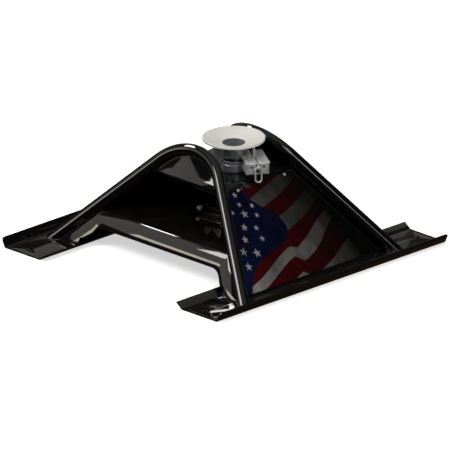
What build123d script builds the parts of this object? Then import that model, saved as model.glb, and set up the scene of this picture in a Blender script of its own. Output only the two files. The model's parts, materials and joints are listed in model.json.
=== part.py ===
from build123d import *
from math import atan, cos, hypot, radians, sin, tan
import os

# A pyramid-shaped fifth wheel hitch for a pickup bed.  X runs along the two bed rails, -Y is the
# tailgate side with the graphic panel, +Z is up.  The origin is on the bed, under the middle.

# ---- driving dimensions (mm) ---------------------------------------------------------------
RAIL_LENGTH = 1143.0
RAIL_BEYOND_FOOT = 53.456    # fold under each rail's outer lip, beyond the hoops' feet
RAIL_FLOOR = 175.0           # flat width between the two folds of a rail
RAIL_SHEET = 5.0
RAIL_FOLD = 8.0
OUTER_LIP_RISE = 35.0
OUTER_LIP_LEAN = 17.0
INNER_LIP_RISE = 21.0
INNER_LIP_LEAN = 30.0
LIP_CORNER = 14.0
BED_BOLT_HOLE = 14.0
BED_BOLT_FROM_END = 45.0
BED_BOLT_FROM_FOLD = 90.0

TUBE_OD = 44.5
TUBE_WALL = 4.8
HOOP_FOOT_X = 384.0          # tube axis where it would meet the bed
HOOP_TOP_X = 143.5
HOOP_TOP_Z = 393.0
HOOP_BEND = 195.0
HOOP_LEG_ANGLE = 40.0        # half the angle between the two legs of a hoop
ARCH_SHEET = 4.0             # plates that close the hoops' bends above the deck

PANEL_SHEET = 5.0
PANEL_INSET = 14.5           # panel's outer face behind the plane of the leg axes
PANEL_TOP_GAP = 8.0          # panel's upper edge below the deck's top face
DECK_Z = 300.0
DECK_SHEET = 6.0
DECK_PAST_TUBE = 2.6         # deck's ends beyond the hoops' axes
DECK_FOLD = 10.0
DECK_FLANGE_DROP = 34.0
DECAL_THICK = 0.3
DECAL_MARGIN = 9.0

TRAY_Z = 131.0
TRAY_SHEET = 5.0
TRAY_FOLD = 9.0
APRON_LOW_Z = 76.0           # lower edge of the sloping end aprons
APRON_LEG = 12.0             # apron's foot beyond the rail's inner lip
APRON_SHOULDER = 26.0        # level lower edge stops this far short of the lip
APRON_CORNER = 60.0

POST_SIZE = 101.6
POST_WALL = 6.4
POST_WINDOW = 84.0           # oblong opening that lets a wrench reach the coupler screws
POST_BASE = 160.0
POST_BASE_THICK = 8.0
RIB_X = 100.0
RIB_TAB = 28.0
EDGE_BOLT_X = 116.0
EDGE_BOLT_DROP = 17.0        # bolts below the deck's top face
RIB_THICK = 6.0
RIB_DEPTH = 62.0
WEB_THICK = 6.0
WEB_SHARE = 0.75             # height of a web at the post, as a share of the post's length

BALL_RADIUS = 29.4           # 2 5/16 inch towing ball
BALL_FIT = 0.6
BALL_CENTRE_Z = 75.0
SOCKET_RADIUS = 48.0
SOCKET_BOTTOM_Z = 34.0
SOCKET_FLANGE_THICK = 8.0
SOCKET_BOLT_PITCH = 126.0
CLAMP_SCREW_OD = 16.0
CLAMP_SCREW_LENGTH = 64.0
CLAMP_SCREW_Z = 50.0

COUPLER_OFFSET = 43.5        # coupler axis towards the tailgate from the middle
HEAD_YAW = 33.0              # turn of the latch housing from straight back
THROAT_RADIUS = 41.0         # passes the kingpin's collar with room to steer in
SEAT_RADIUS = 39.5
NECK_RADIUS = 47.0
DRUM_RADIUS = 47.0
DRUM_HEIGHT = 29.0
GROOVE_RADIUS = 45.0
GROOVE_HEIGHT = 7.0
RING_RADIUS = 48.0
RING_HEIGHT = 6.0
NECK_TOP_Z = DECK_Z + 96.0
SPIGOT_RADIUS = 44.0
SPIGOT_HEIGHT = 3.5
COUPLER_BOLT_ANGLE = 40.0
SEAT_FLOOR = 6.0
SCREW_SHORT = 2.0            # coupler screws stop this far below the kingpin's seat
DRAIN_RADIUS = 14.0
LINER_WALL = 3.0
LINER_HEIGHT = 30.0
BOSS_RADIUS = 20.0
BOSS_OUT = 53.0
BOSS_LOW_Z = DECK_Z + 43.0
BOSS_TOP_Z = DECK_Z + 90.0
GREASE_HOLE = 3.0
GREASE_DEPTH = 12.0

RIM_RADIUS = 112.0
RIM_Z = DECK_Z + 121.5
RIM_BAND = 9.5
CONE_WALL = 3.5
CONE_FOOT_Z = DECK_Z + 100.5

LATCH_Z = DECK_Z + 48.5              # middle of the latch plate
LATCH_THICK = 10.0
LATCH_GAP = 1.0
LATCH_TRAVEL = 34.0
PIN_NECK_RADIUS = 25.4       # 2 inch kingpin
PIN_CLEARANCE = 0.8
CRESCENT_BACK = -2.0
CRESCENT_HALF_WIDTH = 40.0
ARM_BACK = 20.0
ARM_FRONT = 50.0
ROD_SEAT = 14.0              # how deep each rod sits in the arm
BAR_SEAT = 22.0              # how deep the pull bar sits in the arm

HOUSING_SIDE = 60.0          # housing's middle line beside the coupler axis
HOUSING_PAST_EDGE = -0.524   # latch housing's front beyond the deck's edge, so the ring hangs clear
HOUSING_TOP_Z = DECK_Z + 64.6
HOUSING_HEIGHT = 39.6
BRACKET_SHEET = 4.0
BRACKET_WIDTH = 40.0
BRACKET_SLOT = 7.0
BRACKET_BACK = -6.0
FLANGE_WIDTH = 30.0
GUIDE_BAR_WIDTH = 11.0
GUIDE_BAR_EDGE = 2.5
HOUSING_FLOOR = 4.0
RIVET_RADIUS = 3.0
RIVET_HEAD_RADIUS = 5.0
RIVET_HEAD_HEIGHT = 1.8
RIVET_STATIONS = (60.0, 105.0)

ROD_RADIUS = 4.0
ROD_HOLE_RADIUS = 4.6
ROD_SPREAD = 22.0
SPRING_COIL_RADIUS = 6.2
SPRING_WIRE = 1.7
SPRING_TURNS = 9
PULL_BAR_THICK = 5.0
PULL_BAR_TOP_Z = DECK_Z + 60.0
PULL_BAR_HEIGHT = 18.0
PULL_BAR_PAST = 16.0         # pull bar beyond the housing
PULL_TAB_BACK = 43.0
PULL_TAB_LENGTH = 25.0
PULL_TAB_TOP_Z = DECK_Z + 100.0
RING_PIVOT_PAST = 9.0        # ring's hole beyond the housing
RING_PIVOT_Z = DECK_Z + 52.0
RING_WIRE_RADIUS = 3.1
RING_HOLE_RADIUS = 4.4
RING_LONG = 62.0
RING_WIDE = 29.0

BOLT_OD = 12.0
BOLT_HEAD = 7.5
BOLT_HOLE = 13.0
SMALL_BOLT_OD = 6.0
SMALL_BOLT_HEAD = 4.2
WELD_GAP = 0.3
COUPLER_EDGE = 4.0           # softened edges of the coupler's turned body

# ---- sizes that follow from them ------------------------------------------------------------
tube_radius = TUBE_OD / 2
lean = atan((HOOP_FOOT_X - HOOP_TOP_X) / HOOP_TOP_Z)
leg_angle = radians(HOOP_LEG_ANGLE)
hoop_rise = hypot(HOOP_FOOT_X - HOOP_TOP_X, HOOP_TOP_Z)
hoop_peak = hoop_rise + HOOP_BEND * (1 / sin(leg_angle) - 1)
foot_y = hoop_peak * tan(leg_angle)
leg_slope = tan(leg_angle) / cos(lean)
slope_length = hypot(1, leg_slope)


rail_reach = foot_y + RAIL_BEYOND_FOOT


def leg_y(z):
    """Distance from the middle to the axis of a straight leg at height z."""
    return foot_y - leg_slope * z


def leg_x(z):
    return HOOP_FOOT_X - tan(lean) * z


def panel_y(z, depth):
    """Distance from the middle to the sloping plane that lies depth inside the leg axes."""
    return leg_y(z) - depth * slope_length


deck_depth = PANEL_INSET + PANEL_SHEET + WELD_GAP
deck_half_length = leg_x(DECK_Z) + DECK_PAST_TUBE
deck_edge_y = panel_y(DECK_Z, deck_depth)
housing_front = (deck_edge_y - COUPLER_OFFSET) / cos(radians(HEAD_YAW)) + HOUSING_PAST_EDGE
pull_bar_end = housing_front + PULL_BAR_PAST
ring_pivot_x = housing_front + RING_PIVOT_PAST
web_low_z = DECK_Z - DECK_SHEET - WEB_SHARE * (DECK_Z - DECK_SHEET - TRAY_Z)


# ---- helpers ----------------------------------------------------------------------------------
def block(x0, x1, y0, y1, z0, z1):
    size = Box(x1 - x0, y1 - y0, z1 - z0)
    return Pos((x0 + x1) / 2, (y0 + y1) / 2, (z0 + z1) / 2) * size


def rod(radius, start, end):
    """Round bar from one point to another."""
    start = Vector(*start)
    along = Vector(*end) - start
    disc = Plane(origin=start, z_dir=along.normalized()) * Circle(radius)
    return extrude(disc, amount=along.length)


def turned(points):
    """Solid of revolution about Z from (radius, height) points."""
    return revolve(Plane.XZ * make_face(Polyline(*points, close=True)), Axis.Z)


def folded_sheet(points, sheet, fold, half_length):
    """Bent sheet along X: points are its outer face in (y, z), the sheet lies on their left."""
    line = FilletPolyline(*points, radius=fold)
    face = make_face(offset(line, amount=sheet, side=Side.LEFT))
    return extrude(Plane.YZ * face, amount=half_length, both=True)


def hexagon_head(across_flats, height):
    head = extrude(RegularPolygon(across_flats / 2, 6, major_radius=False), amount=height)
    on_base = (Align.CENTER, Align.CENTER, Align.MIN)
    return head & Cone(across_flats * 0.62, across_flats * 0.54, height, align=on_base)


def bolt(diameter, head, length):
    """Hexagon bolt, head above the origin and shank below it."""
    shank = Cylinder(diameter / 2, length, align=(Align.CENTER, Align.CENTER, Align.MAX))
    return hexagon_head(diameter * 1.6, head) + shank


def nut(diameter):
    """Hexagon nut below the origin, with a hole that the shank fills."""
    body = Rot(180, 0, 0) * hexagon_head(diameter * 1.6, diameter * 0.8)
    return body - Cylinder(diameter / 2, diameter * 4)


def write(node, shape):
    solids = [shape] if not isinstance(shape, (list, tuple)) else shape
    export_step(Compound(children=[s for item in solids for s in item.solids()]), f"parts/{node}.step")


def mirrored_y(shape):
    return mirror(shape, about=Plane.XZ)


def mirrored_x(shape):
    return mirror(shape, about=Plane.YZ)


# ---- bed rails --------------------------------------------------------------------------------
def bed_rail():
    """Tailgate-side rail: folded sheet with a lip along each edge and rounded lip corners."""
    fold_out = -rail_reach
    fold_in = fold_out + RAIL_FLOOR
    section = [
        (fold_out - OUTER_LIP_LEAN, OUTER_LIP_RISE),
        (fold_out, 0),
        (fold_in, 0),
        (fold_in + INNER_LIP_LEAN, INNER_LIP_RISE),
    ]
    rail = folded_sheet(section, RAIL_SHEET, RAIL_FOLD, RAIL_LENGTH / 2)
    lip_height = OUTER_LIP_RISE + RAIL_SHEET
    blank = Rectangle(RAIL_LENGTH, lip_height * 2)
    blank = fillet(blank.vertices(), LIP_CORNER)
    outline = extrude(Plane.XZ * blank, amount=rail_reach * 2, both=True)
    outline = Pos(0, 0, rail.bounding_box().max.Z - lip_height) * outline
    rail = rail & (outline + block(-RAIL_LENGTH, RAIL_LENGTH, fold_out, 0, -1, OUTER_LIP_RISE))
    hole_y = fold_out + BED_BOLT_FROM_FOLD
    hole_x = RAIL_LENGTH / 2 - BED_BOLT_FROM_END
    for x in (-hole_x, hole_x):
        rail -= Pos(x, hole_y, 0) * Cylinder(BED_BOLT_HOLE / 2, RAIL_SHEET * 4)
    return rail


# ---- bent tube hoops --------------------------------------------------------------------------
hoop_plane = Plane(origin=(-HOOP_FOOT_X, 0, 0), x_dir=(0, 1, 0), z_dir=(cos(lean), 0, -sin(lean)))


def hoop_solid(outer, inner=0.0):
    """Left hoop: a tube bent once at the top, in a plane that leans towards the middle."""
    run_out = TUBE_OD
    path = hoop_plane * FilletPolyline(
        (-foot_y - run_out * sin(leg_angle), -run_out * cos(leg_angle)),
        (0, hoop_peak),
        (foot_y + run_out * sin(leg_angle), -run_out * cos(leg_angle)),
        radius=HOOP_BEND,
    )
    section = Circle(outer) - Circle(inner) if inner else Circle(outer)
    tube = sweep(Plane(origin=path @ 0, z_dir=path % 0) * section, path=path)
    reach = HOOP_FOOT_X + TUBE_OD * 3
    wide = foot_y + TUBE_OD * 3
    return tube - block(-reach, reach, -wide, wide, -TUBE_OD * 3, RAIL_SHEET)


left_hoop = hoop_solid(tube_radius, tube_radius - TUBE_WALL)
left_gap = hoop_solid(tube_radius + WELD_GAP)
hoop_gaps = left_gap + mirrored_x(left_gap)


# ---- sloping panels, deck and tray ------------------------------------------------------------
def sloping_sheet(z_low, z_high, depth, sheet, x_low, x_high):
    """Trapezium of sheet in the tailgate-side slope: level lower edge, square upper edge."""
    top = -panel_y(z_high, depth)
    corners = [
        (-panel_y(z_low, depth), z_low),
        (top, z_high),
        (top + sheet / slope_length, z_high - sheet * leg_slope / slope_length),
        (-panel_y(z_low, depth + sheet), z_low),
    ]
    slab = extrude(Plane.YZ * make_face(Polyline(*corners, close=True)), amount=HOOP_FOOT_X, both=True)
    outline = make_face(
        Polyline((-x_low, z_low), (x_low, z_low), (x_high, z_high), (-x_high, z_high), close=True)
    )
    return slab & extrude(Plane.XZ * outline, amount=rail_reach, both=True)


def panel():
    z_low = RAIL_SHEET
    z_high = DECK_Z - PANEL_TOP_GAP
    sheet = sloping_sheet(z_low, z_high, PANEL_INSET, PANEL_SHEET, leg_x(z_low), leg_x(z_high))
    return sheet - left_gap - mirrored_x(left_gap)


def deck():
    """Level deck with its two edges folded down behind the tops of the panels."""
    low = DECK_Z - DECK_FLANGE_DROP
    edge = deck_edge_y
    skirt = panel_y(low, deck_depth)
    sheet = folded_sheet(
        [(skirt, low), (edge, DECK_Z), (-edge, DECK_Z), (-skirt, low)],
        DECK_SHEET,
        DECK_FOLD,
        deck_half_length,
    )
    sheet -= hoop_gaps
    for place in coupler_bolt_places():
        sheet -= place * Cylinder(BOLT_HOLE / 2, DECK_SHEET * 4)
    sheet -= Pos(0, -COUPLER_OFFSET, DECK_Z) * Cylinder(DRAIN_RADIUS, DECK_SHEET * 4)
    return sheet


def tray():
    """Level tray whose two ends fold down as aprons in the planes of the hoops."""
    end_x = leg_x(TRAY_Z)
    low_x = leg_x(RAIL_SHEET)
    line = FilletPolyline(
        (-low_x, RAIL_SHEET), (-end_x, TRAY_Z), (end_x, TRAY_Z), (low_x, RAIL_SHEET), radius=TRAY_FOLD
    )
    face = make_face(offset(line, amount=TRAY_SHEET, side=Side.RIGHT))
    sheet = extrude(Plane.XZ * face, amount=foot_y, both=True)
    edge = (tube_radius + WELD_GAP) / cos(leg_angle)
    lip_y = rail_reach - RAIL_FLOOR - INNER_LIP_LEAN
    side = [
        (leg_y(TRAY_Z) - edge, TRAY_Z + TRAY_SHEET),
        (leg_y(TRAY_Z) - edge, TRAY_Z),
        (leg_y(RAIL_SHEET) - edge, RAIL_SHEET),
        (lip_y + INNER_LIP_LEAN + RAIL_SHEET, RAIL_SHEET),
        (lip_y + INNER_LIP_LEAN + RAIL_SHEET, INNER_LIP_RISE + RAIL_SHEET * 2),
        (lip_y + APRON_LEG, INNER_LIP_RISE + RAIL_SHEET * 2),
        (lip_y - APRON_SHOULDER, APRON_LOW_Z),
    ]
    outline = make_face(Polyline(*side, *[(-y, z) for y, z in reversed(side)], close=True))
    shoulders = outline.vertices().filter_by(lambda v: abs(v.Y - APRON_LOW_Z) < 0.01)
    outline = fillet(shoulders, APRON_CORNER)
    sheet = sheet & extrude(Plane.YZ * outline, amount=HOOP_FOOT_X * 2, both=True)
    sheet -= hoop_gaps
    for place in socket_bolt_places():
        sheet -= place * Cylinder(BOLT_HOLE / 2, TRAY_SHEET * 4)
    return sheet


def arch_plate():
    """Left plate that closes the hoop's bend above the deck's end, in the plane of the hoop."""
    face = hoop_plane * make_face(Polyline((-foot_y, 0), (0, hoop_peak), (foot_y, 0), close=True))
    plate = extrude(face, amount=ARCH_SHEET / 2, both=True)
    plate &= block(-HOOP_FOOT_X, 0, -foot_y, foot_y, DECK_Z + WELD_GAP, HOOP_TOP_Z)
    plate -= left_gap
    return plate.solids().sort_by(SortBy.VOLUME)[-1]


def graphic_film():
    """Thin printed film on the tailgate-side panel, with rounded lower corners."""
    z_low = RAIL_SHEET + DECAL_MARGIN
    z_high = DECK_Z - PANEL_TOP_GAP - DECAL_MARGIN / 2
    inset = (tube_radius + DECAL_MARGIN) * hypot(slope_length, tan(lean)) / slope_length
    depth = PANEL_INSET - DECAL_THICK
    return sloping_sheet(z_low, z_high, depth, DECAL_THICK, leg_x(z_low) - inset, leg_x(z_high) - inset)


# ---- parts under the deck ---------------------------------------------------------------------
def post():
    low = TRAY_Z + POST_BASE_THICK
    high = DECK_Z - DECK_SHEET
    outer = RectangleRounded(POST_SIZE, POST_SIZE, POST_WALL * 1.5)
    inner = RectangleRounded(POST_SIZE - 2 * POST_WALL, POST_SIZE - 2 * POST_WALL, POST_WALL / 2)
    tube = extrude(Pos(0, 0, low) * (outer - inner), amount=high - low)
    oblong = SlotOverall(POST_WINDOW, POST_SIZE * 0.5, rotation=90)
    window = extrude(Plane.XZ * oblong, amount=POST_SIZE, both=True)
    return tube - Pos(0, 0, high - POST_WINDOW * 0.75) * window


def post_base():
    plate = extrude(RectangleRounded(POST_BASE, POST_BASE, BOLT_OD), amount=POST_BASE_THICK)
    plate = Pos(0, 0, TRAY_Z) * plate
    for place in socket_bolt_places():
        plate -= place * Cylinder(BOLT_HOLE / 2, POST_BASE_THICK * 6)
    return plate


def deck_rib():
    """Right-hand cross rib under the deck: long lightening holes and a bolting tab at each end."""
    high = DECK_Z - DECK_SHEET
    low = high - RIB_DEPTH
    inner = deck_depth + DECK_SHEET
    bend = high - DECK_FOLD
    top = panel_y(bend, inner) - WELD_GAP
    bottom = panel_y(low, inner) - WELD_GAP
    points = [(panel_y(high, inner) - DECK_FOLD, high), (top, bend), (bottom, low)]
    face = make_face(Polyline(*points, *[(-y, z) for y, z in reversed(points)], close=True))
    for side in (-1, 1):
        face -= Pos(side * top * 0.55, high - RIB_DEPTH * 0.55) * SlotOverall(top * 0.62, RIB_DEPTH * 0.42)
    rib = Pos(RIB_X, 0, 0) * extrude(Plane.YZ * face, amount=RIB_THICK / 2, both=True)
    tab = sloping_sheet(
        DECK_Z - DECK_FLANGE_DROP, DECK_Z - DECK_FOLD, inner + WELD_GAP, RIB_THICK, HOOP_FOOT_X, HOOP_FOOT_X
    )
    tab &= block(RIB_X, RIB_X + RIB_TAB, -rail_reach, 0, 0, DECK_Z)
    tab += mirrored_y(tab)
    return rib + tab


def post_web():
    """Right-hand web between the post and the rib."""
    high = DECK_Z - DECK_SHEET
    start = POST_SIZE / 2
    end = RIB_X - RIB_THICK / 2
    face = make_face(
        Polyline(
            (start, high), (end, high), (end, high - RIB_DEPTH), (start, web_low_z), close=True
        )
    )
    return extrude(Plane.XZ * face, amount=WEB_THICK / 2, both=True)


# ---- towing ball socket under the tray --------------------------------------------------------
def socket_bolt_places():
    half = SOCKET_BOLT_PITCH / 2
    return [Pos(x * half, y * half, TRAY_Z) for x in (-1, 1) for y in (-1, 1)]


def tray_under_z():
    return TRAY_Z - TRAY_SHEET


def ball_socket():
    bore = BALL_RADIUS + BALL_FIT
    top = tray_under_z()
    body = turned([
        (0, SOCKET_BOTTOM_Z),
        (SOCKET_RADIUS, SOCKET_BOTTOM_Z),
        (SOCKET_RADIUS, top),
        (0, top),
    ])
    flange = extrude(RectangleRounded(POST_BASE, POST_BASE, BOLT_OD), amount=-SOCKET_FLANGE_THICK)
    body += Pos(0, 0, top) * flange
    body -= rod(bore, (0, 0, SOCKET_BOTTOM_Z - 1), (0, 0, BALL_CENTRE_Z))
    body -= Pos(0, 0, BALL_CENTRE_Z) * Sphere(bore)
    for side in (-1, 1):
        body -= rod(CLAMP_SCREW_OD / 2, (0, 0, CLAMP_SCREW_Z), (side * SOCKET_RADIUS * 2, 0, CLAMP_SCREW_Z))
    for place in socket_bolt_places():
        body -= place * Cylinder(BOLT_HOLE / 2, TRAY_Z)
    return body


def clamp_screw(side):
    """Square-ended screw that closes under the ball, backed off flush with the bore."""
    tip = BALL_RADIUS + BALL_FIT + WELD_GAP
    turn = Pos(side * (tip + CLAMP_SCREW_LENGTH), 0, CLAMP_SCREW_Z) * Rot(0, 90 * side, 0)
    return turn * bolt(CLAMP_SCREW_OD, CLAMP_SCREW_OD * 0.62, CLAMP_SCREW_LENGTH)


def clamp_nut(side):
    face = SOCKET_RADIUS + CLAMP_SCREW_OD * 0.8 + WELD_GAP
    return Pos(side * face, 0, CLAMP_SCREW_Z) * Rot(0, 90 * side, 0) * nut(CLAMP_SCREW_OD)


def socket_bolt(place):
    stack = POST_BASE_THICK + TRAY_SHEET + SOCKET_FLANGE_THICK + BOLT_OD
    return Pos(0, 0, POST_BASE_THICK) * place * bolt(BOLT_OD, BOLT_HEAD, stack)


def socket_nut(place):
    return Pos(0, 0, -TRAY_SHEET - SOCKET_FLANGE_THICK) * place * nut(BOLT_OD)


# ---- deck edge bolts --------------------------------------------------------------------------
def edge_bolt_places():
    """Tailgate side: on the film near the panel's upper edge, square to the slope."""
    z = DECK_Z - EDGE_BOLT_DROP
    y = -panel_y(z, PANEL_INSET - DECAL_THICK)
    square = (0, -1, leg_slope)
    planes = [Plane(origin=(x, y, z), x_dir=(1, 0, 0), z_dir=square) for x in (-EDGE_BOLT_X, EDGE_BOLT_X)]
    return [plane.location for plane in planes]


edge_stack = DECAL_THICK + PANEL_SHEET + DECK_SHEET + RIB_THICK + WELD_GAP * 2


def edge_bolt(place):
    return place * bolt(SMALL_BOLT_OD, SMALL_BOLT_HEAD, edge_stack + SMALL_BOLT_OD)


def edge_nut(place):
    return place * Pos(0, 0, -edge_stack - WELD_GAP) * nut(SMALL_BOLT_OD)


# ---- coupler on the deck ----------------------------------------------------------------------
head = Plane(
    origin=(0, -COUPLER_OFFSET, 0),
    x_dir=(-sin(radians(HEAD_YAW)), -cos(radians(HEAD_YAW)), 0),
    z_dir=(0, 0, 1),
).location
# In the head's own frame X points out along the latch housing and Y to its side.


def coupler_bolt_places():
    """Screws up through the deck into the drum, two each side of the post's wall."""
    reach = (DRUM_RADIUS + DRAIN_RADIUS) / 2
    across = reach * cos(radians(COUPLER_BOLT_ANGLE))
    along = reach * sin(radians(COUPLER_BOLT_ANGLE))
    return [Pos(x * across, y * along - COUPLER_OFFSET, DECK_Z) for x in (-1, 1) for y in (-1, 1)]


def latch_slot(extra):
    """Space in the head that the latch plate slides in, extra larger all round."""
    low = LATCH_Z - LATCH_THICK / 2 - extra
    high = LATCH_Z + LATCH_THICK / 2 + extra
    wide = CRESCENT_HALF_WIDTH + extra
    reach = ARM_FRONT + LATCH_TRAVEL + extra
    straight = block(CRESCENT_BACK - extra, reach, -wide, wide, low, high)
    return straight + block(ARM_BACK - extra, reach, 0, arm_side() + extra, low, high)


def arm_side():
    return HOUSING_SIDE + ROD_SPREAD + SPRING_COIL_RADIUS


def coupler_base():
    """Turned drum, groove and flange ring, bored for the seat liner and slotted for the latch."""
    z0 = DECK_Z
    drum_top = z0 + DRUM_HEIGHT
    ring_low = drum_top + GROOVE_HEIGHT
    ring_top = ring_low + RING_HEIGHT
    soft = COUPLER_EDGE
    body = turned([
        (DRAIN_RADIUS, z0),
        (DRUM_RADIUS - soft / 2, z0),
        (DRUM_RADIUS, z0 + soft),
        (DRUM_RADIUS, drum_top - soft / 2),
        (GROOVE_RADIUS, drum_top),
        (GROOVE_RADIUS, ring_low),
        (RING_RADIUS, ring_low + soft / 4),
        (RING_RADIUS, ring_top - soft / 4),
        (NECK_RADIUS, ring_top),
        (SEAT_RADIUS, ring_top),
        (SEAT_RADIUS, z0 + SEAT_FLOOR),
        (DRAIN_RADIUS, z0 + SEAT_FLOOR),
    ])
    body = head * body
    for place in coupler_bolt_places():
        body -= place * Cylinder(BOLT_OD / 2, (SEAT_FLOOR - SCREW_SHORT) * 2)
    return body


def coupler_neck():
    """Round neck with the grease boss; its bore widens above the latch slot."""
    low = DECK_Z + DRUM_HEIGHT + GROOVE_HEIGHT + RING_HEIGHT
    step = LATCH_Z + LATCH_THICK / 2 + LATCH_GAP
    soft = COUPLER_EDGE
    body = turned([
        (NECK_RADIUS, low),
        (NECK_RADIUS, NECK_TOP_Z),
        (SPIGOT_RADIUS, NECK_TOP_Z),
        (SPIGOT_RADIUS, NECK_TOP_Z + SPIGOT_HEIGHT),
        (THROAT_RADIUS, NECK_TOP_Z + SPIGOT_HEIGHT),
        (THROAT_RADIUS, step),
        (SEAT_RADIUS, step),
        (SEAT_RADIUS, low),
    ])
    boss = rod(BOSS_RADIUS, (0, -BOSS_OUT, BOSS_LOW_Z), (0, -BOSS_OUT, BOSS_TOP_Z))
    boss = fillet(boss.edges().filter_by(GeomType.CIRCLE), soft)
    boss += block(-BOSS_RADIUS, BOSS_RADIUS, -BOSS_OUT, -THROAT_RADIUS, BOSS_LOW_Z + soft, BOSS_TOP_Z - soft)
    boss -= rod((THROAT_RADIUS + NECK_RADIUS) / 2, (0, 0, low), (0, 0, NECK_TOP_Z))
    body += boss
    body -= grease_place() * rod(GREASE_HOLE, (0, 0, -GREASE_DEPTH), (0, 0, 1))
    body -= latch_slot(LATCH_GAP)
    return head * body


def grease_place():
    """Middle of the boss's rear face, pointing away from the latch housing."""
    return Pos(-BOSS_RADIUS, -BOSS_OUT, (BOSS_LOW_Z + BOSS_TOP_Z) / 2) * Rot(0, -90, 0)


def coupler_screw(place):
    """Screw with its head under the deck; its end stops below the kingpin seat."""
    length = DECK_SHEET + SEAT_FLOOR - SCREW_SHORT
    return Pos(0, 0, -DECK_SHEET) * place * Rot(180, 0, 0) * bolt(BOLT_OD, BOLT_HEAD, length)


def seat_liner():
    z0 = DECK_Z + SEAT_FLOOR
    inner = SEAT_RADIUS - LINER_WALL
    ring = rod(SEAT_RADIUS, (0, 0, z0), (0, 0, z0 + LINER_HEIGHT)) - rod(inner, (0, 0, z0 - 1), (0, 0, RIM_Z))
    top_edge = ring.edges().filter_by(GeomType.CIRCLE).sort_by(Axis.Z)[-2:].sort_by(SortBy.RADIUS)[0]
    return head * chamfer(top_edge, LINER_WALL / 2)


def funnel():
    """Shallow dished guide with a rolled rim, seated over the coupler's spigot."""
    cone_drop = RIM_Z - CONE_FOOT_Z
    band = RIM_BAND
    spigot = SPIGOT_RADIUS
    dish = turned([
        (THROAT_RADIUS, NECK_TOP_Z + SPIGOT_HEIGHT),
        (THROAT_RADIUS, CONE_FOOT_Z),
        (RIM_RADIUS - CONE_WALL, RIM_Z),
        (RIM_RADIUS, RIM_Z),
        (RIM_RADIUS, RIM_Z - band),
        (RIM_RADIUS - CONE_WALL, RIM_Z - band),
        (RIM_RADIUS - CONE_WALL, RIM_Z - CONE_WALL - 2.0),
        (spigot + CONE_WALL * 2, CONE_FOOT_Z + cone_drop * 0.08 - CONE_WALL),
        (spigot + CONE_WALL * 2, NECK_TOP_Z),
        (spigot, NECK_TOP_Z),
        (spigot, NECK_TOP_Z + SPIGOT_HEIGHT),
    ])
    rim = dish.edges().filter_by(GeomType.CIRCLE).filter_by(lambda e: abs(e.radius - RIM_RADIUS) < 0.01)
    return head * fillet(rim, CONE_WALL / 3)


def grease_fitting():
    hole = GREASE_HOLE
    nipple = turned([
        (0, 1 - GREASE_DEPTH),
        (hole, 1 - GREASE_DEPTH),
        (hole, WELD_GAP),
        (hole * 1.5, WELD_GAP),
        (hole * 1.5, hole),
        (hole * 0.75, hole),
        (hole * 0.75, hole * 1.7),
        (hole, hole * 2.1),
        (hole * 0.8, hole * 2.8),
        (0, hole * 2.8),
    ])
    return head * grease_place() * nipple


# ---- latch housing ----------------------------------------------------------------------------
def bracket(side):
    """Zinc top bracket with a folded front flange; side is -1 near the axis, +1 outside."""
    top = HOUSING_TOP_Z
    under = top - BRACKET_SHEET
    low = top - HOUSING_HEIGHT
    inner = HOUSING_SIDE + side * BRACKET_SLOT / 2
    outer = inner + side * BRACKET_WIDTH
    hole_y = HOUSING_SIDE + side * ROD_SPREAD
    y0, y1 = sorted((inner, outer))
    plate = block(BRACKET_BACK, housing_front, y0, y1, under, top)
    front = housing_front - BRACKET_SHEET
    plate += block(front, housing_front, hole_y - FLANGE_WIDTH / 2, hole_y + FLANGE_WIDTH / 2, low, top)
    outer_fold = plate.edges().filter_by(Axis.Y).group_by(Axis.X)[-1].sort_by(Axis.Z)[-1]
    plate = fillet(outer_fold, BRACKET_SHEET * 0.9)
    plate -= rod(NECK_RADIUS + WELD_GAP, (0, 0, low), (0, 0, top + 1))
    plate -= rod(ROD_HOLE_RADIUS, (front - 1, hole_y, LATCH_Z), (housing_front + 1, hole_y, LATCH_Z))
    for x in RIVET_STATIONS:
        y = rivet_y(side)
        plate -= rod(RIVET_RADIUS, (x, y, under - 1), (x, y, top + 1))
    pieces = plate.solids().sort_by(SortBy.VOLUME)
    return head * pieces[-1]


def rivet_y(side):
    edge = HOUSING_SIDE + side * (BRACKET_SLOT / 2 + BRACKET_WIDTH)
    return edge - side * (GUIDE_BAR_EDGE + GUIDE_BAR_WIDTH / 2)


def guide_bar(side):
    """Steel bar under each bracket; the inner one is slotted for the latch plate."""
    edge = HOUSING_SIDE + side * (BRACKET_SLOT / 2 + BRACKET_WIDTH - GUIDE_BAR_EDGE)
    y0, y1 = sorted((edge, edge - side * GUIDE_BAR_WIDTH))
    low = HOUSING_TOP_Z - HOUSING_HEIGHT
    high = HOUSING_TOP_Z - BRACKET_SHEET
    bar = block(BRACKET_BACK, housing_front - BRACKET_SHEET, y0, y1, low, high)
    bar -= rod(RING_RADIUS + WELD_GAP, (0, 0, low - 1), (0, 0, high + 1))
    if side < 0:
        bar -= latch_slot(LATCH_GAP)
    for x in RIVET_STATIONS:
        y = rivet_y(side)
        bar -= rod(RIVET_RADIUS, (x, y, high - HOUSING_FLOOR), (x, y, high + 1))
    return head * bar.solids().sort_by(SortBy.VOLUME)[-1]


def housing_floor():
    low = HOUSING_TOP_Z - HOUSING_HEIGHT - HOUSING_FLOOR
    half = BRACKET_SLOT / 2 + BRACKET_WIDTH - GUIDE_BAR_EDGE
    plate = block(
        BRACKET_BACK, housing_front - BRACKET_SHEET, HOUSING_SIDE - half, HOUSING_SIDE + half,
        low, low + HOUSING_FLOOR,
    )
    plate -= rod(RING_RADIUS + WELD_GAP, (0, 0, low - 1), (0, 0, low + HOUSING_FLOOR + 1))
    return head * plate.solids().sort_by(SortBy.VOLUME)[-1]


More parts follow.
